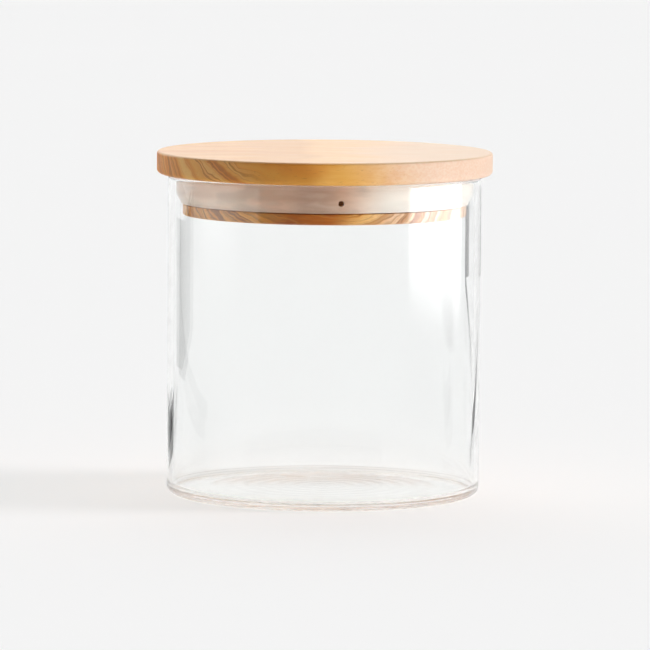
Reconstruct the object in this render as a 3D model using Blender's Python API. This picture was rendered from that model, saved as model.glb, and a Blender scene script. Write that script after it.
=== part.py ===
"""Glass canister with a turned wooden plug lid and a soft silicone seal.

Three pieces, each a body of revolution about the Z axis: the blown glass jar, the lid
turned from one piece of olive wood, and the seal that is stretched into the lid's groove.
Metres, +Z up, origin on the surface the jar stands on, at the middle of its foot.
"""

import math

import bmesh
import bpy

# Jar
JAR_RADIUS = 0.0500
JAR_HEIGHT = 0.1019
WALL = 0.00235
FLOOR = 0.0020
FOOT_CORNER = 0.0025
FLOOR_CORNER = 0.0022
FOOT_WIDTH = 0.0045
PUNT_RISE = 0.0006
FLOOR_RISE = 0.0004

# Lid: a disc, and below it a plug with a groove between the disc and a flange
LID_RADIUS = 0.0535
LID_TOP_EDGE = 0.0009
LID_BOTTOM_EDGE = 0.0014
LID_THICKNESS = 0.0071
FLANGE_RADIUS = 0.0452
FLANGE_THICKNESS = 0.0034
FLANGE_EDGE = 0.0004
PLUG_DEPTH = 0.0128
NECK_RADIUS = 0.0420

# Seal: a channel, open towards the neck, whose outer wall flares up to the lip
LIP_RADIUS = 0.04735
HEEL_RADIUS = 0.0459
SEAL_WALL = 0.0013
LIP_BAND = 0.0045
LIP_EDGE = 0.0005
VENT_DIAMETER = 0.0018
VENT_HEIGHT = 0.0963
VENT_TURN = math.radians(6.2)

# Gap left between pieces that touch
GAP = 0.0003

# Facets round each piece, and along each quarter of a rounded edge
STEPS = 80
EDGE_STEPS = 4
SHARP_ANGLE = math.radians(35)

LID_UNDERSIDE = JAR_HEIGHT + GAP
LID_TOP = LID_UNDERSIDE + LID_THICKNESS
PLUG_BOTTOM = LID_UNDERSIDE - PLUG_DEPTH
FLANGE_TOP = PLUG_BOTTOM + FLANGE_THICKNESS


def arc(centre_r, centre_z, radius, start, end, steps):
    """Points of an arc in the (r, z) half plane, from start to end in degrees."""
    turns = [math.radians(start + (end - start) * i / steps) for i in range(steps + 1)]
    return [(centre_r + radius * math.cos(t), centre_z + radius * math.sin(t)) for t in turns]


def dome(edge_r, edge_z, rise, steps, inwards):
    """Points of a shallow parabola between the axis and its edge, which is rise lower."""
    shares = [i / steps for i in range(steps + 1)]
    if inwards:
        shares.reverse()
    return [(edge_r * s, edge_z + rise * (1 - s * s)) for s in shares]


def flare(low_r, low_z, high_r, high_z, steps):
    """Points from a high point down towards a low one, upright at first, then drawn in."""
    points = []
    for i in range(steps):
        share = i / steps
        drawn_in = 1 - math.cos(math.pi / 2 * share)
        points.append((high_r + (low_r - high_r) * drawn_in, high_z + (low_z - high_z) * share))
    return points


def finish(name, colour, roughness, alpha=1.0, transmission=0.0):
    """A Principled BSDF material."""
    material = bpy.data.materials.new(name)
    material.use_nodes = True
    shader = material.node_tree.nodes["Principled BSDF"]
    shader.inputs["Base Color"].default_value = (*colour, 1.0)
    shader.inputs["Roughness"].default_value = roughness
    shader.inputs["Metallic"].default_value = 0.0
    shader.inputs["Alpha"].default_value = alpha
    shader.inputs["Transmission Weight"].default_value = transmission
    return material


def turned(name, outline, material, closed=False):
    """An object made by turning an (r, z) outline one full round about the Z axis."""
    shape = bmesh.new()
    points = [shape.verts.new((r, 0.0, z)) for r, z in outline]
    pairs = list(zip(points, points[1:]))
    if closed:
        pairs.append((points[-1], points[0]))
    edges = [shape.edges.new(pair) for pair in pairs]
    bmesh.ops.spin(
        shape,
        geom=points + edges,
        cent=(0.0, 0.0, 0.0),
        axis=(0.0, 0.0, 1.0),
        angle=math.tau,
        steps=STEPS,
        use_merge=True,
    )
    bmesh.ops.remove_doubles(shape, verts=shape.verts, dist=0.00001)
    bmesh.ops.recalc_face_normals(shape, faces=shape.faces)
    mesh = bpy.data.meshes.new(name)
    shape.to_mesh(mesh)
    shape.free()
    mesh.shade_smooth()
    mesh.set_sharp_from_angle(angle=SHARP_ANGLE)
    mesh.materials.append(material)
    piece = bpy.data.objects.new(name, mesh)
    bpy.context.collection.objects.link(piece)
    return piece


def make_jar():
    """The glass jar: a straight wall, a round fire-polished rim and a slightly domed floor."""
    inner = JAR_RADIUS - WALL
    rim = WALL / 2
    foot_outer = JAR_RADIUS - FOOT_CORNER
    foot_inner = foot_outer - FOOT_WIDTH
    outline = dome(inner - FLOOR_CORNER, FLOOR, FLOOR_RISE, 5, inwards=False)
    outline += arc(inner - FLOOR_CORNER, FLOOR + FLOOR_CORNER, FLOOR_CORNER, -90, 0, EDGE_STEPS)[1:]
    outline += arc(inner + rim, JAR_HEIGHT - rim, rim, 180, 0, 2 * EDGE_STEPS)
    outline += arc(foot_outer, FOOT_CORNER, FOOT_CORNER, 0, -90, EDGE_STEPS)
    outline += dome(foot_inner, 0.0, PUNT_RISE, 4, inwards=True)
    return turned("glass_jar", outline, finish("glass", (0.90, 0.94, 0.93), 0.02, 0.35, 1.0))


def make_lid(carrier):
    """The lid: disc, neck and flange turned from one piece of wood."""
    top_r = LID_RADIUS - LID_TOP_EDGE
    under_r = LID_RADIUS - LID_BOTTOM_EDGE
    flange_r = FLANGE_RADIUS - FLANGE_EDGE
    outline = [(0.0, LID_TOP)]
    outline += arc(top_r, LID_TOP - LID_TOP_EDGE, LID_TOP_EDGE, 90, 0, EDGE_STEPS)
    outline += arc(under_r, LID_UNDERSIDE + LID_BOTTOM_EDGE, LID_BOTTOM_EDGE, 0, -90, EDGE_STEPS)
    outline += [(NECK_RADIUS, LID_UNDERSIDE), (NECK_RADIUS, FLANGE_TOP)]
    outline += arc(flange_r, FLANGE_TOP - FLANGE_EDGE, FLANGE_EDGE, 90, 0, 2)
    outline += arc(flange_r, PLUG_BOTTOM + FLANGE_EDGE, FLANGE_EDGE, 0, -90, 2)
    outline += [(0.0, PLUG_BOTTOM)]
    lid = turned("wood_lid", outline, finish("olive_wood", (0.62, 0.36, 0.14), 0.5))
    lid.parent = carrier
    return lid


def make_vent_cutter():
    """A thin rod, pointing out from the axis, that pierces the seal's outer wall."""
    shape = bmesh.new()
    bmesh.ops.create_cone(
        shape,
        cap_ends=True,
        segments=12,
        radius1=VENT_DIAMETER / 2,
        radius2=VENT_DIAMETER / 2,
        depth=0.006,
    )
    mesh = bpy.data.meshes.new("vent_cutter")
    shape.to_mesh(mesh)
    shape.free()
    cutter = bpy.data.objects.new("vent_cutter", mesh)
    reach = LIP_RADIUS
    cutter.location = (reach * math.sin(VENT_TURN), -reach * math.cos(VENT_TURN), VENT_HEIGHT)
    cutter.rotation_euler = (math.pi / 2, 0.0, VENT_TURN)
    cutter.hide_render = True
    cutter.display_type = "WIRE"
    bpy.context.collection.objects.link(cutter)
    return cutter


def make_seal(carrier):
    """The silicone seal in the groove between disc and flange, with its small air vent."""
    low = FLANGE_TOP + GAP
    high = LID_UNDERSIDE - GAP
    bore = NECK_RADIUS + GAP
    lip_r = LIP_RADIUS - LIP_EDGE
    heel_r = HEEL_RADIUS - LIP_EDGE
    outline = [(bore, high)]
    outline += arc(lip_r, high - LIP_EDGE, LIP_EDGE, 90, 0, 2)
    outline += flare(HEEL_RADIUS, low + LIP_EDGE, LIP_RADIUS, high - LIP_BAND, 6)
    outline += arc(heel_r, low + LIP_EDGE, LIP_EDGE, 0, -90, 2)
    outline += [(bore, low), (bore, low + SEAL_WALL)]
    outline += [(HEEL_RADIUS - SEAL_WALL, low + SEAL_WALL)]
    outline += [(LIP_RADIUS - SEAL_WALL, high - LIP_BAND), (LIP_RADIUS - SEAL_WALL, high - SEAL_WALL)]
    outline += [(bore, high - SEAL_WALL)]
    seal = turned("silicone_seal", outline, finish("silicone", (0.86, 0.84, 0.81), 0.35), closed=True)
    seal.parent = carrier
    vent = seal.modifiers.new("vent", "BOOLEAN")
    vent.operation = "DIFFERENCE"
    vent.solver = "EXACT"
    vent.object = make_vent_cutter()
    return seal


def main():
    for old in list(bpy.data.objects):
        bpy.data.objects.remove(old, do_unlink=True)
    lid_lift = bpy.data.objects.new("lid_lift", None)
    bpy.context.collection.objects.link(lid_lift)
    make_jar()
    make_lid(lid_lift)
    make_seal(lid_lift)


main()
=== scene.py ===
"""A glass canister with an olive-wood plug lid and a soft silicone seal, on a pale floor.

The three pieces are turned about the Z axis and stand in for the plain ones of the frame.
Metres, +Z up, the camera looks along +Y.
"""

import math

import bmesh
import bpy
from mathutils import Matrix, Vector


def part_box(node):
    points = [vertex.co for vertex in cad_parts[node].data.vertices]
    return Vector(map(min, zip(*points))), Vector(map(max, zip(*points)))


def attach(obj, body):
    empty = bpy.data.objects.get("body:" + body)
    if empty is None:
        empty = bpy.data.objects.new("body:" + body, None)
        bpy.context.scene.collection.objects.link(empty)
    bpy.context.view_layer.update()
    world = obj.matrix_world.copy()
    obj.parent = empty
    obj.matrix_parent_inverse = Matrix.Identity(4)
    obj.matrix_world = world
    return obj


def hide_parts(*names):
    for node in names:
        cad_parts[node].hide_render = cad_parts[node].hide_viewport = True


bl_info = {
    "name": "Glass canister",
    "version": (1, 0, 0),
    "blender": (4, 5, 0),
    "location": "3D View > Sidebar > Canister",
    "description": "Makes a glass canister with a turned wooden lid and a silicone seal",
    "category": "Add Mesh",
}

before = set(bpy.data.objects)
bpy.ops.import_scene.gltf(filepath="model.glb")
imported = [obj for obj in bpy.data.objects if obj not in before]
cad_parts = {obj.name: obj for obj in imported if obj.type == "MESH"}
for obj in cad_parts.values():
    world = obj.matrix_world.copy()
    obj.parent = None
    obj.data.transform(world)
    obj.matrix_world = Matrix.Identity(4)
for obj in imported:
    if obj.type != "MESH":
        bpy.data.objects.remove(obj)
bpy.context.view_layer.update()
JAR_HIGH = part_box("glass_jar")[1]
LID_LOW, LID_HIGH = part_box("wood_lid")
SEAL_LOW, SEAL_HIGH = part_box("silicone_seal")

# Facets round each piece, and the angle past which an edge is sharp
STEPS = 288
SHARP_ANGLE = math.radians(35)

# Segments of the rounded edges
JAR_SEGMENTS = 8
LID_SEGMENTS = 6
FLANGE_SEGMENTS = 4
SEAL_SEGMENTS = 5

# Points nearer to each other than this are one
JOINED = 0.000001

# How far from a rounding its guard ring lies, and the clear length that a side needs for one
GUARD = 0.0004
GUARD_ROOM = 2.5 * GUARD

# No piece reaches as far from the axis as this
REACH = 0.06

# Sockets of a Mix node that blends colours, and its result
SHARE, FIRST, SECOND = 0, 6, 7
RESULT = 2


# Shader nodes


class Socket:
    """An output of a node. Arithmetic on it adds Math nodes."""

    def __init__(self, finish, output):
        self.finish = finish
        self.output = output

    def maths(self, operation, first, second):
        return self.finish.node("Math", {"operation": operation}, {0: first, 1: second})

    def __add__(self, other):
        return self.maths("ADD", self, other)

    def __radd__(self, other):
        return self.maths("ADD", other, self)

    def __sub__(self, other):
        return self.maths("SUBTRACT", self, other)

    def __rsub__(self, other):
        return self.maths("SUBTRACT", other, self)

    def __mul__(self, other):
        return self.maths("MULTIPLY", self, other)

    def __rmul__(self, other):
        return self.maths("MULTIPLY", other, self)

    def __abs__(self):
        return self.maths("ABSOLUTE", self, 0.0)


class Finish:
    """A material of one Principled BSDF and the nodes that feed it."""

    def __init__(self, name, constants):
        self.material = bpy.data.materials.new(name)
        self.material.use_nodes = True
        self.tree = self.material.node_tree
        self.shader = self.tree.nodes["Principled BSDF"]
        for socket, value in constants.items():
            self.drive(socket, value)

    def node(self, kind, settings, sockets, output=0):
        """Adds a node, with its settings first and then its sockets' values or links."""
        made = self.tree.nodes.new("ShaderNode" + kind)
        for name, value in settings.items():
            if name == "stops":
                self.set_stops(made.color_ramp, value)
            else:
                setattr(made, name, value)
        for name, value in sockets.items():
            self.feed(made.inputs[name], value)
        return Socket(self, made.outputs[output])

    def set_stops(self, ramp, stops):
        """Gives a ramp its places and their colours."""
        while len(ramp.elements) < len(stops):
            ramp.elements.new(1.0)
        for element, (place, colour) in zip(ramp.elements, stops):
            element.position = place
            element.color = (*colour, 1.0)

    def feed(self, socket, value):
        """Links a node's output to a socket, or sets the socket's value."""
        if isinstance(value, Socket):
            self.tree.links.new(value.output, socket)
        elif socket.type == "RGBA":
            socket.default_value = (*value, 1.0)
        else:
            socket.default_value = value

    def drive(self, name, value):
        """Feeds one of the shader's own sockets."""
        self.feed(self.shader.inputs[name], value)

    def place(self):
        """The point on the piece, in metres."""
        return self.node("TexCoord", {}, {}, "Object")

    def split(self, vector):
        """The three parts of a vector."""
        made = self.tree.nodes.new("ShaderNodeSeparateXYZ")
        self.feed(made.inputs[0], vector)
        return [Socket(self, output) for output in made.outputs]

    def stretch(self, vector, scale, turn=(0.0, 0.0, 0.0)):
        """A place scaled along each axis, so that a pattern there gets shorter or longer."""
        return self.node("Mapping", {}, {"Vector": vector, "Scale": scale, "Rotation": turn})

    def noise(self, vector, scale, detail):
        """Soft noise in space."""
        return self.node("TexNoise", {}, {"Vector": vector, "Scale": scale, "Detail": detail})

    def streaks(self, value, scale):
        """Noise along one value."""
        sockets = {"W": value, "Scale": scale, "Detail": 2.0}
        return self.node("TexNoise", {"noise_dimensions": "1D"}, sockets)

    def ramp(self, value, stops):
        """A colour that follows a value from stop to stop."""
        return self.node("ValToRGB", {"stops": stops}, {"Fac": value})

    def between(self, value, low, high, start=0.0, end=1.0):
        """Eases from start to end as the value goes from low to high."""
        sockets = {"Value": value, "From Min": low, "From Max": high, "To Min": start, "To Max": end}
        return self.node("MapRange", {"interpolation_type": "SMOOTHSTEP"}, sockets)

    def until(self, value, low, high):
        """Eases from one to nothing as the value goes from low to high."""
        return self.between(value, low, high, 1.0, 0.0)

    def near(self, value, middle, core, reach):
        """One where the value is within a core of the middle, and nothing past a reach of it."""
        return self.until(abs(value - middle), core, reach)

    def blend(self, share, first, second, kind="MIX"):
        """A colour between two others."""
        settings = {"data_type": "RGBA", "blend_type": kind}
        return self.node("Mix", settings, {SHARE: share, FIRST: first, SECOND: second}, RESULT)

    def let_light_through(self, shade):
        """Light that falls through the piece goes straight on, a little weaker."""
        clear = self.node("BsdfTransparent", {}, {"Color": shade})
        surface = Socket(self, self.shader.outputs[0])
        for ray in ("Is Diffuse Ray", "Is Shadow Ray"):
            falls = self.node("LightPath", {}, {}, ray)
            surface = self.node("MixShader", {}, {0: falls, 1: surface, 2: clear})
        self.feed(self.tree.nodes["Material Output"].inputs["Surface"], surface)

    def bump(self, height, strength, distance):
        """Small hollows and rises that only the shading shows."""
        sockets = {"Height": height, "Strength": strength, "Distance": distance}
        self.drive("Normal", self.node("Bump", {}, sockets))


# Meshes


def mesh_of(name, shape):
    """Turns a finished bmesh into a mesh."""
    mesh = bpy.data.meshes.new(name)
    shape.to_mesh(mesh)
    shape.free()
    return mesh


def sharp(r, z):
    """A corner of an outline that isn't rounded."""
    return (r, z, 0.0, 0)


def guarded(outline):
    """The outline with a ring beside each rounding, so that smooth shading leaves the flats flat."""
    rings = []
    for i, corner in enumerate(outline):
        here = Vector(corner[:2])
        radius = corner[2]
        sides = []
        for other in (outline[i - 1], outline[(i + 1) % len(outline)]):
            away = Vector(other[:2]) - here
            room = away.length - radius - other[2] > GUARD_ROOM
            guard = here + away.normalized() * (radius + GUARD)
            sides.append([sharp(*guard)] if radius and room else [])
        rings += [*sides[0], corner, *sides[1]]
    return rings


def round_off(shape, corners, radius, segments):
    """Bevels the rings of edges that pass through the (r, z) corners."""
    def near(vert):
        return any(
            abs(vert.co.xy.length - r) < 2 * JOINED and abs(vert.co.z - z) < 2 * JOINED
            for r, z in corners
        )

    # An edge of a ring is level and one facet long, and one that crosses it is longer
    longest = math.tau * REACH / STEPS
    rings = [edge for edge in shape.edges if all(near(vert) for vert in edge.verts)]
    rings = [edge for edge in rings if abs(edge.verts[0].co.z - edge.verts[1].co.z) < JOINED]
    rings = [edge for edge in rings if edge.calc_length() < longest]
    bmesh.ops.bevel(
        shape,
        geom=rings,
        offset=radius,
        offset_type="OFFSET",
        segments=segments,
        profile=0.5,
        affect="EDGES",
        material=-1,
        clamp_overlap=True,
    )


def turned(name, outline, closed=False):
    """A mesh made by turning an outline of (r, z, rounding, segments) corners about Z."""
    shape = bmesh.new()
    outline = guarded(outline)
    points = [shape.verts.new((corner[0], 0.0, corner[1])) for corner in outline]
    pairs = list(zip(points, points[1:]))
    if closed:
        pairs.append((points[-1], points[0]))
    edges = [shape.edges.new(pair) for pair in pairs]
    bmesh.ops.spin(
        shape,
        geom=points + edges,
        cent=(0.0, 0.0, 0.0),
        axis=(0.0, 0.0, 1.0),
        angle=math.tau,
        steps=STEPS,
        use_merge=True,
    )
    bmesh.ops.remove_doubles(shape, verts=shape.verts, dist=JOINED)
    bmesh.ops.recalc_face_normals(shape, faces=shape.faces)
    for rounding in sorted({corner[2:] for corner in outline if corner[2]}):
        corners = [corner[:2] for corner in outline if corner[2:] == rounding]
        round_off(shape, corners, *rounding)
    mesh = mesh_of(name, shape)
    mesh.shade_smooth()
    mesh.set_sharp_from_angle(angle=SHARP_ANGLE)
    return mesh


def add_object(name, data):
    """Puts a mesh, a light or a camera in the scene."""
    made = bpy.data.objects.new(name, data)
    bpy.context.collection.objects.link(made)
    return made


def add_piece(mesh, finish, body, node):
    """Shows a mesh as a piece that rides on a body and stands in for a node."""
    mesh.materials.append(finish.material)
    piece = add_object(mesh.name, mesh)
    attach(piece, body)
    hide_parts(node)


# Jar

# Rings of points along the inside of the floor, the thinner foot of the wall, and the underside
FLOOR_STEPS = 48
WALL_STEPS = 10
FOOT_STEPS = 6

# The inner roundings take a little less than the room they have, which keeps their bevels clean
FLOOR_ROUNDING = 0.98
RIM_ROUNDING = 0.995

# The ring of painted shade in the glass where floor and wall meet: how far over the floor's edge it
# lies, and how far it reaches
SHADED_CORNER_RISE = 0.0004
SHADED_CORNER_REACH = 0.0005
SHADED_CORNER_WIDTH = 0.0008


def jar_outline(sizes):
    """The jar's section from the middle of its floor, over the rim and down to its foot."""
    radius = JAR_HIGH.x
    inner = radius - sizes.wall
    rim = sizes.wall / 2 * RIM_ROUNDING
    outline = []
    for i in range(FLOOR_STEPS):
        share = i / FLOOR_STEPS
        # The faint rings fade out at the middle and at the wall
        ring = math.sin(math.tau * sizes.floor_rings * share) * min(1.0, 6 * share, 5 - 5 * share)
        drop = sizes.floor_rise * share * share
        z = sizes.floor + sizes.floor_rise - drop + sizes.ring_height * ring
        outline.append(sharp((inner - sizes.floor_corner) * share, z))
    corner = sizes.floor_corner * FLOOR_ROUNDING
    outline.append((inner + sizes.thinning, sizes.floor, corner, JAR_SEGMENTS))
    for i in range(1, WALL_STEPS + 1):
        share = i / WALL_STEPS
        climb = (sizes.thinning_height - sizes.floor_corner) * share
        z = sizes.floor + sizes.floor_corner + climb
        outline.append(sharp(inner + sizes.thinning * (1 - share) ** 2, z))
    outline.append((inner, JAR_HIGH.z, rim, JAR_SEGMENTS))
    outline.append((radius, JAR_HIGH.z, rim, JAR_SEGMENTS))
    outline.append((radius, 0.0, sizes.foot_corner, JAR_SEGMENTS))
    foot_inner = radius - sizes.foot_corner - sizes.foot_width
    for i in range(FOOT_STEPS + 1):
        share = 1 - i / FOOT_STEPS
        outline.append(sharp(foot_inner * share, sizes.punt_rise * (1 - share * share)))
    return outline


def glass_finish(sizes):
    """Clear glass, with faint upright draw lines and one ring of painted shade between floor and
    wall.
    """
    glass = Finish("glass", {"Roughness": 0.0, "IOR": 1.47, "Transmission Weight": 1.0})
    place = glass.place()
    x, y, z = glass.split(place)
    draw_lines = glass.noise(glass.stretch(place, (1.0, 1.0, 0.12)), scale=60.0, detail=1.0)
    waves = glass.noise(place, scale=35.0, detail=1.0)
    wall = glass.between(z, sizes.floor_corner + sizes.floor, sizes.thinning_height)
    glass.bump((draw_lines * 0.6 + waves * 0.4) * wall, strength=0.05, distance=0.0004)
    # A ring of painted shade darkens the glass where the floor meets the wall
    corner = glass.near(z - sizes.floor, SHADED_CORNER_RISE, 0.0, SHADED_CORNER_REACH)
    edge = JAR_HIGH.x - sizes.wall - sizes.floor_corner
    corner = corner * glass.between(x * x + y * y, edge ** 2, (edge + SHADED_CORNER_WIDTH) ** 2)
    glass.drive("Base Color", glass.blend(corner, sizes.tint, sizes.painted_corner_shade))
    glass.let_light_through(sizes.shade)
    return glass


# Lid

# Where the wood and its painted light and shade change, in metres to the right of the axis: from and
# to
FIGURE_ENDS = (-0.034, -0.016)
BROWN_AND_SHADE_STARTS = (-0.032, -0.020)
BROWN_AND_SHADE_ENDS = (-0.010, -0.002)
SAPWOOD_AND_LIGHT_STARTS = (0.0, 0.038)
HEART_MIDDLE = -0.005
HEART_REACH = (0.005, 0.018)

# And in height: out of the flange, and onto the lid's top for its figure and for its painted sheen
FLANGE_ENDS = (LID_LOW.z + 0.004, LID_LOW.z + 0.008)
TOP_STARTS = (LID_HIGH.z - 0.001, LID_HIGH.z - 0.0002)
SHEEN_TOP_STARTS = (LID_HIGH.z - 0.0006, LID_HIGH.z - 0.0002)

# Where the golden wood lies among the tones
GOLDEN = 0.48


def lid_outline(sizes):
    """The lid's section: the disc, its neck and the flange below it."""
    radius = LID_HIGH.x
    underside = LID_HIGH.z - sizes.thickness
    flange_top = LID_LOW.z + sizes.flange_thickness
    return [
        sharp(0.0, LID_HIGH.z),
        (radius, LID_HIGH.z, sizes.top_edge, LID_SEGMENTS),
        (radius, underside, sizes.bottom_edge, LID_SEGMENTS),
        sharp(sizes.neck_radius, underside),
        sharp(sizes.neck_radius, flange_top),
        (sizes.flange_radius, flange_top, sizes.flange_edge, FLANGE_SEGMENTS),
        (sizes.flange_radius, LID_LOW.z, sizes.flange_edge, FLANGE_SEGMENTS),
        sharp(0.0, LID_LOW.z),
    ]


def wood_finish(sizes):
    """Olive wood that is figured to the left and in the flange, golden, and cream to the right, with
    painted shade over the disc's left, painted light on the cream right and a painted sheen on the
    top.
    """
    wood = Finish("olive_wood", {"IOR": 1.43})
    place = wood.place()
    x, y, z = wood.split(place)

    def wander(along, scale, detail, width):
        """A soft drift to and fro, drawn out along the board."""
        drift = wood.noise(wood.stretch(place, (along, 1.0, 1.0)), scale, detail)
        return (drift - 0.5) * width

    # Growth layers lean back from the front, and sway along the board
    sway = wander(along=0.6, scale=26.0, detail=1.0, width=0.020)
    ripple = wander(along=0.7, scale=150.0, detail=2.0, width=0.0045)
    layer = y * 0.8 - z * 0.6 + x * 0.06
    layer = layer + sway + ripple

    # The tones spread further where the wood is figured, and less on its top
    flange = wood.until(z, *FLANGE_ENDS)
    left = wood.until(x + sway * 0.5, *FIGURE_ENDS)
    top = wood.between(z, *TOP_STARTS, 1.0, 0.25)
    figured = wood.node("Math", {"operation": "MAXIMUM"}, {0: flange, 1: left * top})
    tone = wood.streaks(layer, scale=170.0)
    tone = GOLDEN + (tone - GOLDEN) * (figured * 1.2 + 0.35) + figured * 0.04
    colour = wood.ramp(tone, [
        (0.30, sizes.pale_colour),
        (GOLDEN, sizes.golden_colour),
        (0.64, sizes.brown_colour),
        (0.80, sizes.dark_colour),
    ])

    # The flange is warmer, with a dark heart near its middle
    colour = wood.blend(flange * 0.5, colour, sizes.flange_colour)
    heart = wood.near(x + sway * 0.5, HEART_MIDDLE, *HEART_REACH) * flange
    colour = wood.blend(heart, colour, sizes.heart_shade, "MULTIPLY")

    # The disc is browner to the left, partly its own wood and partly painted shade on its less lit
    # side, and both turn to cream to the right, partly pale sapwood and partly painted light on
    # their brightest side
    browner_and_shaded = wood.until(x + sway * 1.5, *BROWN_AND_SHADE_ENDS) * (1.0 - flange)
    browner_and_shaded = browner_and_shaded * wood.between(x + sway, *BROWN_AND_SHADE_STARTS, 0.55, 1.0)
    colour = wood.blend(browner_and_shaded, colour, sizes.browner_wood_and_shade, "MULTIPLY")
    # Cream to the right, partly pale sapwood and partly painted light where the light falls
    # strongest
    sapwood_and_light = wood.between(x + sway * 2.0, *SAPWOOD_AND_LIGHT_STARTS)
    colour = wood.blend(sapwood_and_light * 0.85, colour, sizes.sapwood_and_light_colour)
    colour = wood.blend(sapwood_and_light * flange * 0.7, colour, sizes.flange_sapwood_and_light_colour)
    # A painted sheen pales the lid's top, most to the right
    painted_sheen = wood.between(z, *SHEEN_TOP_STARTS)
    colour = wood.blend(painted_sheen * (0.5 + sapwood_and_light * 0.4), colour, sizes.painted_sheen_colour)

    # Each vein is a dark line with a brown shade on one side and a pale line on the other:
    # its middle, core and reach among the streaks, then its strength and colour
    across = wood.streaks(layer + 0.37, scale=260.0)
    for middle, core, reach, strength, shade in (
        (0.56, 0.012, 0.075, 0.7, sizes.brown_colour),
        (0.44, 0.004, 0.030, 0.4, sizes.pale_colour),
        (0.50, 0.004, 0.026, 0.8, sizes.dark_colour),
    ):
        vein = wood.near(across, middle, core, reach) * figured * strength
        colour = wood.blend(vein, colour, shade)
    fine = wood.near(wood.streaks(layer + 0.11, scale=430.0), 0.5, 0.008, 0.05)
    colour = wood.blend(fine * flange * 0.6, colour, sizes.dark_colour)

    # Fibres and pores run along the board
    fibres = wood.noise(wood.stretch(place, (60.0, 1500.0, 1500.0)), scale=1.0, detail=3.0)
    colour = wood.blend(wood.between(fibres, 0.35, 0.65, 0.0, 0.18), colour, sizes.brown_colour)
    pores = wood.noise(wood.stretch(place, (300.0, 3000.0, 3000.0)), scale=1.0, detail=1.0)
    pore = wood.between(pores, 0.66, 0.74)
    colour = wood.blend(pore * (0.4 - sapwood_and_light * 0.3), colour, sizes.dark_colour)
    wood.drive("Base Color", colour)
    wood.drive("Roughness", wood.between(fibres, 0.3, 0.7, 0.46, 0.56))
    wood.bump(fibres * 0.5 - pore * 0.5, strength=0.25, distance=0.00008)
    return wood


# Seal

# Rings of points down the flare, and facets round the vent and the length of its rod
FLARE_STEPS = 10
VENT_FACETS = 24
VENT_ROD = 0.006

# The rounding of the heel, and how far over the foot the flare starts, as shares of the edge
HEEL_EDGE = 0.6
FLARE_FOOT = 1.5

# Where the silicone's painted light and shade and its clearness change, in metres to the right of
# the axis or to either side of a middle
LIT_SIDES = (0.010, 0.044)
SHADED_FRONT_MIDDLE = -0.003
SHADED_FRONT_REACH = (0.002, 0.012)
LIT_STARTS = (0.003, 0.021)
CLEAR_MIDDLE = -0.002
CLEAR_REACH = (0.004, 0.034)


def seal_outline(sizes):
    """The seal's closed channel section, whose outer wall flares up to the lip."""
    low, high = SEAL_LOW.z, SEAL_HIGH.z
    lip = SEAL_HIGH.x
    heel = sizes.heel_radius
    bore = sizes.bore_radius
    wall = sizes.wall
    flare_low = low + sizes.edge * FLARE_FOOT
    flare_high = high - sizes.lip_band
    outline = [sharp(bore, high), (lip, high, sizes.edge, SEAL_SEGMENTS)]
    for i in range(FLARE_STEPS + 1):
        share = i / FLARE_STEPS
        drawn_in = 1 - math.cos(math.pi / 2 * share)
        z = flare_high + (flare_low - flare_high) * share
        outline.append(sharp(lip + (heel - lip) * drawn_in, z))
    outline.append((heel, low, sizes.edge * HEEL_EDGE, SEAL_SEGMENTS))
    outline.append(sharp(bore, low))
    outline.append(sharp(bore, low + wall))
    outline.append(sharp(heel - wall, low + wall))
    outline.append(sharp(lip - wall, flare_high))
    outline.append(sharp(lip - wall, high - wall))
    outline.append(sharp(bore, high - wall))
    return outline


def pierced(name, mesh, sizes):
    """A new mesh of the seal, with its round air vent cut through the outer wall."""
    shape = bmesh.new()
    bmesh.ops.create_cone(
        shape,
        cap_ends=True,
        segments=VENT_FACETS,
        radius1=sizes.vent_diameter / 2,
        radius2=sizes.vent_diameter / 2,
        depth=VENT_ROD,
        matrix=Matrix.Rotation(sizes.vent_turn, 4, "Z")
        @ Matrix.Translation((0.0, -SEAL_HIGH.x, sizes.vent_height))
        @ Matrix.Rotation(math.pi / 2, 4, "X"),
    )
    rod = add_object("vent_rod", mesh_of("vent_rod", shape))
    ring = add_object("ring", mesh)
    vent = ring.modifiers.new("vent", "BOOLEAN")
    vent.operation = "DIFFERENCE"
    vent.solver = "EXACT"
    vent.object = rod
    graph = bpy.context.evaluated_depsgraph_get()
    cut = bpy.data.meshes.new_from_object(ring.evaluated_get(graph))
    cut.name = name
    for each in (rod, ring):
        used = each.data
        bpy.data.objects.remove(each)
        bpy.data.meshes.remove(used)
    cut.shade_smooth()
    cut.set_sharp_from_angle(angle=SHARP_ANGLE)
    return cut


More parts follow.
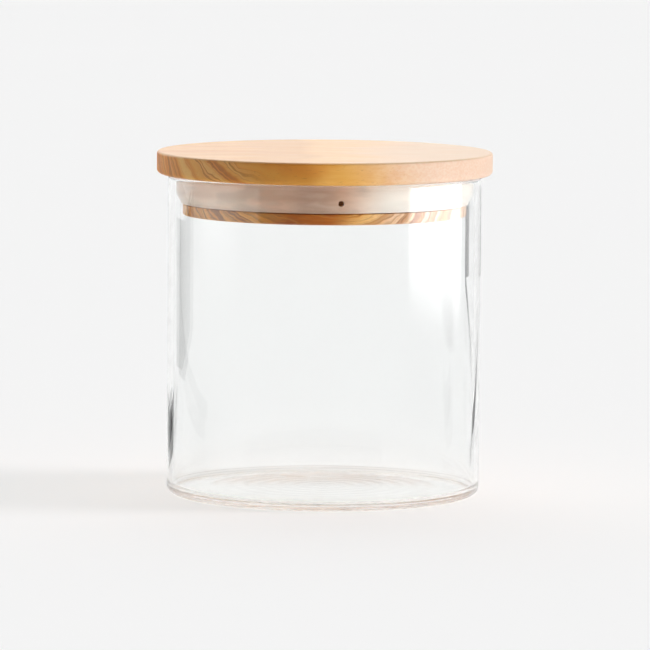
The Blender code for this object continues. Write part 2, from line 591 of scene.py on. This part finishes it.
def silicone_finish(sizes):
    """Milky silicone, clearer near the front, with cloudy parts, painted shade over its front and
    painted light at its sides and to its right.
    """
    silicone = Finish("silicone", {
        "Roughness": 0.32,
        "IOR": 1.41,
        "Subsurface Weight": 0.5,
        "Subsurface Radius": (1.0, 0.9, 0.85),
        "Subsurface Scale": 0.002,
    })
    place = silicone.place()
    x = silicone.split(place)[0]
    slanted = silicone.stretch(place, (0.8, 1.0, 2.4), turn=(0.0, 0.6, 0.0))
    cloud = silicone.noise(slanted, scale=75.0, detail=3.0)
    colour = silicone.blend(silicone.between(cloud, 0.44, 0.56), sizes.colour, sizes.shade_colour)

    # Painted light makes the sides paler and the right the palest, and painted shade makes the front
    # greyer
    side = silicone.between(abs(x), *LIT_SIDES)
    colour = silicone.blend(side * 0.5, colour, sizes.painted_side_light_colour)
    shaded_front = silicone.near(x, SHADED_FRONT_MIDDLE, *SHADED_FRONT_REACH)
    colour = silicone.blend(shaded_front, colour, sizes.front_shade, "MULTIPLY")
    lit = silicone.between(x, *LIT_STARTS)
    colour = silicone.blend(lit * 0.8, colour, sizes.lit_colour)
    silicone.drive("Base Color", colour)
    milk = silicone.between(abs(x - CLEAR_MIDDLE), *CLEAR_REACH) + lit * 0.5
    milk = milk + silicone.between(cloud, 0.35, 0.65, -0.45, 0.35)
    silicone.drive("Alpha", silicone.between(milk, 0.0, 1.0, sizes.clearest, sizes.milkiest))
    silicone.bump(silicone.noise(place, scale=600.0, detail=2.0), strength=0.15, distance=0.00005)
    return silicone


# Stage

# The floor lies this far under the foot, so that no two faces share a plane
FLOOR_GAP = 0.0002
FLOOR_FACETS = 96

# The floor's grain goes down to this share of its colour
GRAIN_SHADE = 0.995

# Where the paler floor under the jar starts to fade, as a share of the jar's radius
GATHERED = 0.93

# How often light may be bent or thrown back, which the foot of the glass needs to stay clear
BOUNCES = 200

# Suns: energy, width in degrees, place, and whether it lights the floor alone or all but the floor
ABOVE = (-0.2, 1.6, 1.75)
SUNS = {
    "back_light": (2.35, 60, ABOVE, False),
    "softbox": (2.6, 45, (1.6, -0.80, 0.52), False),
    "floor_light": (0.60, 60, ABOVE, True),
    "side_light": (9.2, 24, (1.6, 0.0, 0.46), True),
    "edge_light": (2.4, 40, (-1.03, 1.23, 0.05), False),
}

# Bright cards, which only gloss shows: two lower corners, height, level, the share of the width
# that is soft at each side, and the height over which the foot fades in
GLOWS = {
    "back_glow": ((-2.4, 2.5, 0.5), (2.4, 2.5, 0.5), 1.9, 3.0),
    "right_panel": ((0.475, 0.25, 0.0), (0.537, -0.31, 0.0), 0.60, 8.5, 0.12, 0.05),
    "panel_glow": ((0.408, -0.629, 0.002), (0.749, -0.039, 0.002), 0.60, 1.3, 0.5, 0.07),
    "left_panel": ((-0.60, 0.17, 0.004), (-0.55, -0.36, 0.004), 0.60, 2.4, 0.35, 0.06),
    "left_glow": ((-0.60, 0.19, 0.043), (-0.62, 0.50, 0.043), 0.30, 1.6, 0.2),
}

# The bright cards that the lid doesn't show
OFF_THE_LID = ("right_panel", "panel_glow")

# The level of the darkest cards
DARK = 0.02

# Dark cards, which draw the edges of the glass: two lower corners, height and level
BOARDS = {
    "left_fin": ((-0.066, 0.066, 0.012), (-0.077, 0.077, 0.003), 0.016, 0.25),
    "left_fold": ((-0.072, 0.072, -0.001), (-0.092, 0.092, -0.001), 0.018, 0.33),
    "left_wing": ((-0.092, 0.092, -0.001), (-0.142, 0.138, -0.001), 0.018, 0.04),
    "left_board": ((-0.304, 0.268, -0.01), (-0.340, 0.205, -0.01), 0.067, DARK),
    "far_left_board": ((-0.340, 0.205, -0.01), (-0.52, 0.205, -0.01), 0.067, DARK),
    "right_strip": ((0.170, 0.69, 0.0035), (0.212, 0.69, 0.0035), 0.04, DARK),
}

# A low dark line that bends along the right edge of the glass: its corners and its height
RIGHT_LINE = ((0.172, 0.690, 0.0), (0.171, 0.301, 0.0), (0.159, 0.165, 0.0), (0.113, 0.070, 0.0))
LINE_HEIGHT = 0.007

# Flat parts of a card that is bent round the jar
BEND_STEPS = 48


def add_stage(name, mesh, finish):
    """Shows a mesh as a part of the stage."""
    mesh.materials.append(finish.material)
    made = add_object(name, mesh)
    return made


def make_floor(sizes):
    """A wide round floor, a little paler under the jar, where glass gathers light."""
    shape = bmesh.new()
    low = Matrix.Translation((0.0, 0.0, -FLOOR_GAP))
    bmesh.ops.create_circle(
        shape, cap_ends=True, segments=FLOOR_FACETS, radius=sizes.floor_radius, matrix=low
    )
    paper = Finish("floor_paper", {"Roughness": 0.9, "Specular IOR Level": 0.0})
    place = paper.place()
    shade = [part * GRAIN_SHADE for part in sizes.floor_colour]
    colour = paper.blend(paper.noise(place, scale=3.0, detail=1.0), sizes.floor_colour, shade)
    x, y = paper.split(place)[:2]
    edge = JAR_HIGH.x
    under = paper.until(x * x + y * y, (edge * GATHERED) ** 2, edge ** 2)
    paper.drive("Base Color", paper.blend(under, colour, sizes.gathered_colour))
    return add_stage("floor", mesh_of("floor", shape), paper)


def card_finish(name, level, soft, low, fade):
    """Light of one level, which fades in from each side and, over a height, from the foot."""
    card = Finish(name, {
        "Base Color": (0.0, 0.0, 0.0),
        "Specular IOR Level": 0.0,
        "Emission Color": (1.0, 1.0, 1.0),
        "Emission Strength": level,
    })
    edge = 1.0
    if fade:
        edge = card.between(card.split(card.place())[2], low, low + fade)
    if soft:
        along = card.split(card.node("TexCoord", {}, {}, "UV"))[0]
        edge = edge * card.between(0.5 - abs(along - 0.5), 0.0, soft)
    card.drive("Alpha", edge)
    return card


def add_card(name, shape, level, soft=0.0, low=0.0, fade=0.0):
    """Shows a card to glass and gloss alone: it lights nothing and the camera doesn't see it."""
    card = add_stage(name, mesh_of(name, shape), card_finish(name, level, soft, low, fade))
    card.visible_camera = False
    card.visible_diffuse = False
    card.visible_shadow = False
    return card


def make_card(name, start, end, height, level, soft=0.0, fade=0.0):
    """A flat upright card, from its two lower corners up."""
    start, end = Vector(start), Vector(end)
    across, up = end - start, Vector((0.0, 0.0, height))
    turn = Matrix((across, up, across.cross(up))).transposed().to_4x4()
    shape = bmesh.new()
    shape.loops.layers.uv.new("UVMap")
    bmesh.ops.create_grid(
        shape,
        x_segments=1,
        y_segments=1,
        size=0.5,
        matrix=Matrix.Translation((start + end + up) / 2) @ turn,
        calc_uvs=True,
    )
    return add_card(name, shape, level, soft, start.z, fade)


def make_curved_card(name, radius, first, last, low, height, level):
    """An upright card bent round the jar, between two bearings from the front in degrees."""
    shape = bmesh.new()
    foot = shape.verts.new((0.0, -radius, low))
    bmesh.ops.rotate(shape, verts=[foot], matrix=Matrix.Rotation(math.radians(first), 3, "Z"))
    made = bmesh.ops.extrude_vert_indiv(shape, verts=[foot])
    bmesh.ops.translate(shape, verts=made["verts"], vec=(0.0, 0.0, height))
    bmesh.ops.spin(
        shape,
        geom=made["edges"] + made["verts"] + [foot],
        cent=(0.0, 0.0, 0.0),
        axis=(0.0, 0.0, 1.0),
        angle=math.radians(last - first),
        steps=BEND_STEPS,
    )
    return add_card(name, shape, level)


def make_sun(name, energy, width, place):
    """A soft sun that shines from a place towards the middle of the foot."""
    data = bpy.data.lights.new(name, "SUN")
    data.energy = energy
    data.angle = math.radians(width)
    sun = add_object(name, data)
    sun.location = place
    towards = Vector((0.0, 0.0, 0.0)) - Vector(place)
    sun.rotation_euler = towards.to_track_quat("-Z", "Y").to_euler()
    sun.visible_transmission = False
    return sun


def light_alone(light, lit, alone):
    """Lets a light or a card light one object alone, or everything but that one."""
    group = bpy.data.collections.new(light.name + "_receivers")
    group.objects.link(lit)
    light.light_linking.receiver_collection = group
    group.collection_objects[0].light_linking.link_state = "INCLUDE" if alone else "EXCLUDE"


def make_world(level):
    """A dim studio all round."""
    world = bpy.data.worlds.new("studio")
    world.use_nodes = True
    shade = world.node_tree.nodes["Background"]
    shade.inputs["Color"].default_value = (1.0, 1.0, 1.0, 1.0)
    shade.inputs["Strength"].default_value = level
    bpy.context.scene.world = world


def make_camera(sizes):
    """A camera with a long lens, in front of the canister and a little above it."""
    data = bpy.data.cameras.new("camera")
    data.sensor_width = 36.0
    data.lens = sizes.lens
    data.clip_start = 0.1
    data.clip_end = 50.0
    camera = add_object("camera", data)
    camera.matrix_world = (
        Matrix.Translation((0.0, -sizes.camera_distance, sizes.camera_height))
        @ Matrix.Rotation(-sizes.camera_yaw, 4, "Z")
        @ Matrix.Rotation(math.pi / 2 - sizes.camera_pitch, 4, "X")
        @ Matrix.Rotation(sizes.camera_roll, 4, "Z")
    )
    bpy.context.scene.camera = camera


def make_lights(floor):
    """The suns. The floor has its own two, and the rest light everything but the floor."""
    for name, (energy, width, place, on_floor) in SUNS.items():
        sun = make_sun(name, energy, width, place)
        # The floor's even light throws no shadow, and gloss shows the back light alone
        sun.data.use_shadow = name != "floor_light"
        sun.visible_glossy = name == "back_light"
        light_alone(sun, floor, on_floor)


def make_cards(lid):
    """What the glass reflects and bends: light all round, bright panels and dark boards."""
    walls = make_curved_card(
        "walls", radius=4.0, first=0.0, last=360.0, low=0.0, height=8.0, level=0.93
    )
    walls.visible_glossy = False
    for name, settings in GLOWS.items():
        glow = make_card(name, *settings)
        glow.visible_transmission = False
        if name in OFF_THE_LID:
            light_alone(glow, lid, False)
    make_curved_card(
        "front_board", radius=0.72, first=-48.0, last=67.0, low=0.033, height=0.09, level=0.08
    )
    for name, settings in BOARDS.items():
        make_card(name, *settings)
    for number, (start, end) in enumerate(zip(RIGHT_LINE, RIGHT_LINE[1:])):
        line = make_card(f"right_line_{number}", start, end, LINE_HEIGHT, DARK)
        line.visible_glossy = False


# Sizes and colours that a user may change


def a_length(name, description, default):
    return bpy.props.FloatProperty(
        name=name, description=description, default=default, min=0.0, unit="LENGTH", precision=5
    )


def an_angle(name, description, degrees):
    return bpy.props.FloatProperty(
        name=name, description=description, default=math.radians(degrees), subtype="ANGLE"
    )


def a_share(name, description, default):
    return bpy.props.FloatProperty(
        name=name, description=description, default=default, min=0.0, max=1.0, subtype="FACTOR"
    )


def a_colour(name, description, default):
    return bpy.props.FloatVectorProperty(
        name=name, description=description, default=default, min=0.0, max=1.0, subtype="COLOR"
    )


class CanisterJar(bpy.types.PropertyGroup):
    """The glass jar's sizes and colours."""

    wall: a_length("Wall", "Thickness of the glass wall", 0.00235)
    floor: a_length("Floor", "Thickness of the glass floor at its edge", 0.0020)
    floor_rise: a_length("Floor rise", "How much the floor rises to its middle", 0.0004)
    floor_corner: a_length("Floor corner", "Radius between floor and wall inside", 0.0022)
    foot_corner: a_length("Foot corner", "Radius of the outer bottom edge", 0.0025)
    foot_width: a_length("Foot width", "Width of the flat ring it stands on", 0.0045)
    punt_rise: a_length("Punt rise", "How hollow the underside is", 0.0006)
    thinning: a_length("Thinning", "How much thinner the wall is at its foot", 0.0005)
    thinning_height: a_length("Thinning height", "How far up the wall that reaches", 0.045)
    ring_height: a_length("Ring height", "Height of the faint rings in the floor", 0.000006)
    floor_rings: bpy.props.IntProperty(
        name="Floor rings", description="How many faint rings the floor has", default=9, min=0
    )
    tint: a_colour("Tint", "Colour of the glass", (0.990, 0.997, 0.994))
    # Painted shade in the glass where floor and wall meet
    painted_corner_shade: a_colour("Corner tint", "Glass where floor and wall meet", (0.72, 0.72, 0.70))
    shade: a_colour("Shade", "Share of light that each face lets fall through", (0.96, 0.963, 0.962))


class CanisterLid(bpy.types.PropertyGroup):
    """The wooden lid's sizes and colours."""

    thickness: a_length("Thickness", "Thickness of the disc over the rim", 0.0071)
    top_edge: a_length("Top edge", "Radius of the top edge", 0.0009)
    bottom_edge: a_length("Bottom edge", "Radius of the disc's lower edge", 0.0014)
    neck_radius: a_length("Neck radius", "Radius of the groove's bottom", 0.0420)
    flange_radius: a_length("Flange radius", "Radius of the flange under the seal", 0.0452)
    flange_thickness: a_length("Flange thickness", "Thickness of the flange", 0.0034)
    flange_edge: a_length("Flange edge", "Radius of the flange's edges", 0.0004)
    pale_colour: a_colour("Pale wood", "The palest streaks", (0.88, 0.54, 0.17))
    golden_colour: a_colour("Golden wood", "Most of the wood", (0.84, 0.44, 0.095))
    brown_colour: a_colour("Brown wood", "The browner streaks", (0.72, 0.27, 0.035))
    dark_colour: a_colour("Dark wood", "The veins", (0.34, 0.11, 0.02))
    # Painted shade over the disc's left, on top of its browner wood
    browner_wood_and_shade: a_colour("Browner shade", "Shade over the disc's left", (0.78, 0.66, 0.42))
    # Pale sapwood and painted light to the right
    sapwood_and_light_colour: a_colour("Sapwood", "The cream wood to the right", (0.86, 0.68, 0.58))
    flange_colour: a_colour("Flange", "Warmth of the flange", (1.0, 0.52, 0.08))
    heart_shade: a_colour("Heart shade", "Shade over the flange's middle", (0.46, 0.20, 0.0))
    # Pale sapwood and painted light on the flange's right
    flange_sapwood_and_light_colour: a_colour("Flange sapwood", "Its cream wood", (1.0, 0.84, 0.68))
    # Painted sheen on the lid's top
    painted_sheen_colour: a_colour("Face", "Tint of the lid's top", (0.61, 0.42, 0.25))


class CanisterSeal(bpy.types.PropertyGroup):
    """The seal's sizes and colours."""

    heel_radius: a_length("Heel radius", "Outer radius at the bottom", 0.0459)
    bore_radius: a_length("Bore radius", "Radius of the opening round the neck", 0.0423)
    wall: a_length("Wall", "Thickness of the silicone", 0.0013)
    edge: a_length("Edge", "Radius of the lip's upper edge", 0.0005)
    lip_band: a_length("Lip band", "Height of the straight band that meets the glass", 0.0045)
    vent_diameter: a_length("Vent diameter", "Diameter of the air vent", 0.0018)
    vent_height: a_length("Vent height", "Height of the air vent above the foot", 0.0963)
    vent_turn: an_angle("Vent turn", "How far the vent is turned to the right of the front", 6.2)
    colour: a_colour("Colour", "Colour of the silicone", (1.0, 0.70, 0.53))
    shade_colour: a_colour("Shade", "Colour of its cloudier parts", (0.88, 0.58, 0.42))
    # Painted light towards the seal's sides
    painted_side_light_colour: a_colour("Sides", "Colour towards its sides", (1.0, 0.76, 0.60))
    # Painted shade over the seal's front
    front_shade: a_colour("Front shade", "Shade over its front", (0.78, 0.80, 0.82))
    # Painted light to the seal's right
    lit_colour: a_colour("Right", "Colour to its right", (1.0, 0.92, 0.85))
    clearest: a_share("Clearest", "Opacity where it is clearest", 0.70)
    milkiest: a_share("Milkiest", "Opacity where it is milkiest", 1.0)


class CanisterStage(bpy.types.PropertyGroup):
    """The floor, the studio and the camera."""

    floor_radius: a_length("Floor radius", "Radius of the floor", 9.0)
    floor_colour: a_colour("Floor colour", "Colour of the floor", (0.90, 0.90, 0.90))
    gathered_colour: a_colour("Lit floor", "Colour of the floor under the jar", (0.98, 0.98, 0.96))
    studio_level: a_share("Studio level", "Brightness of the dim studio all round", 0.06)
    camera_distance: a_length("Camera distance", "How far the camera is in front", 1.8)
    camera_height: a_length("Camera height", "Height of the camera over the floor", 0.2388)
    camera_pitch: an_angle("Camera pitch", "How far the camera looks down", 5.875)
    camera_yaw: an_angle("Camera yaw", "How far the camera looks to the right", 0.0132)
    camera_roll: an_angle("Camera roll", "How far the camera is rolled", 0.406)
    lens: bpy.props.FloatProperty(
        name="Lens", description="Focal length on a 36 mm sensor", default=313.6, unit="CAMERA"
    )


class CANISTER_OT_glass_jar(bpy.types.Operator):
    """Make the glass jar"""

    bl_idname = "canister.glass_jar"
    bl_label = "Glass jar"

    def execute(self, context):
        sizes = context.scene.canister_jar
        mesh = turned("blown_glass_jar", jar_outline(sizes))
        add_piece(mesh, glass_finish(sizes), "jar", "glass_jar")
        return {"FINISHED"}


class CANISTER_OT_wood_lid(bpy.types.Operator):
    """Make the turned wooden lid"""

    bl_idname = "canister.wood_lid"
    bl_label = "Wooden lid"

    def execute(self, context):
        sizes = context.scene.canister_lid
        mesh = turned("turned_lid", lid_outline(sizes))
        add_piece(mesh, wood_finish(sizes), "lid", "wood_lid")
        return {"FINISHED"}


class CANISTER_OT_seal(bpy.types.Operator):
    """Make the silicone seal with its air vent"""

    bl_idname = "canister.seal"
    bl_label = "Silicone seal"

    def execute(self, context):
        sizes = context.scene.canister_seal
        whole = turned("whole_seal", seal_outline(sizes), closed=True)
        mesh = pierced("soft_seal", whole, sizes)
        add_piece(mesh, silicone_finish(sizes), "lid", "silicone_seal")
        return {"FINISHED"}


class CANISTER_OT_stage(bpy.types.Operator):
    """Make the floor, the camera, the lights and the cards"""

    bl_idname = "canister.stage"
    bl_label = "Stage"

    def execute(self, context):
        sizes = context.scene.canister_stage
        floor = make_floor(sizes)
        make_world(sizes.studio_level)
        make_camera(sizes)
        make_lights(floor)
        make_cards(bpy.data.objects["turned_lid"])
        cycles = context.scene.cycles
        cycles.max_bounces = BOUNCES
        cycles.glossy_bounces = BOUNCES
        cycles.transmission_bounces = BOUNCES
        context.scene.view_settings.view_transform = "Standard"
        return {"FINISHED"}


# Each operator, with the name and the group of its sizes
PIECES = (
    (CANISTER_OT_glass_jar, "canister_jar", CanisterJar),
    (CANISTER_OT_wood_lid, "canister_lid", CanisterLid),
    (CANISTER_OT_seal, "canister_seal", CanisterSeal),
    (CANISTER_OT_stage, "canister_stage", CanisterStage),
)


class CANISTER_PT_pieces(bpy.types.Panel):
    """Lists the canister's pieces and their sizes in the sidebar"""

    bl_label = "Glass canister"
    bl_space_type = "VIEW_3D"
    bl_region_type = "UI"
    bl_category = "Canister"

    def draw(self, context):
        for operator, name, group in PIECES:
            box = self.layout.box()
            box.operator(operator.bl_idname)
            for key in group.__annotations__:
                box.prop(getattr(context.scene, name), key)


def register():
    for operator, name, group in PIECES:
        bpy.utils.register_class(group)
        setattr(bpy.types.Scene, name, bpy.props.PointerProperty(type=group))
        bpy.utils.register_class(operator)
    bpy.utils.register_class(CANISTER_PT_pieces)


def unregister():
    bpy.utils.unregister_class(CANISTER_PT_pieces)
    for operator, name, group in reversed(PIECES):
        bpy.utils.unregister_class(operator)
        delattr(bpy.types.Scene, name)
        bpy.utils.unregister_class(group)


def main():
    register()
    bpy.ops.canister.glass_jar()
    bpy.ops.canister.wood_lid()
    bpy.ops.canister.seal()
    bpy.ops.canister.stage()


if __name__ == "__main__":
    main()
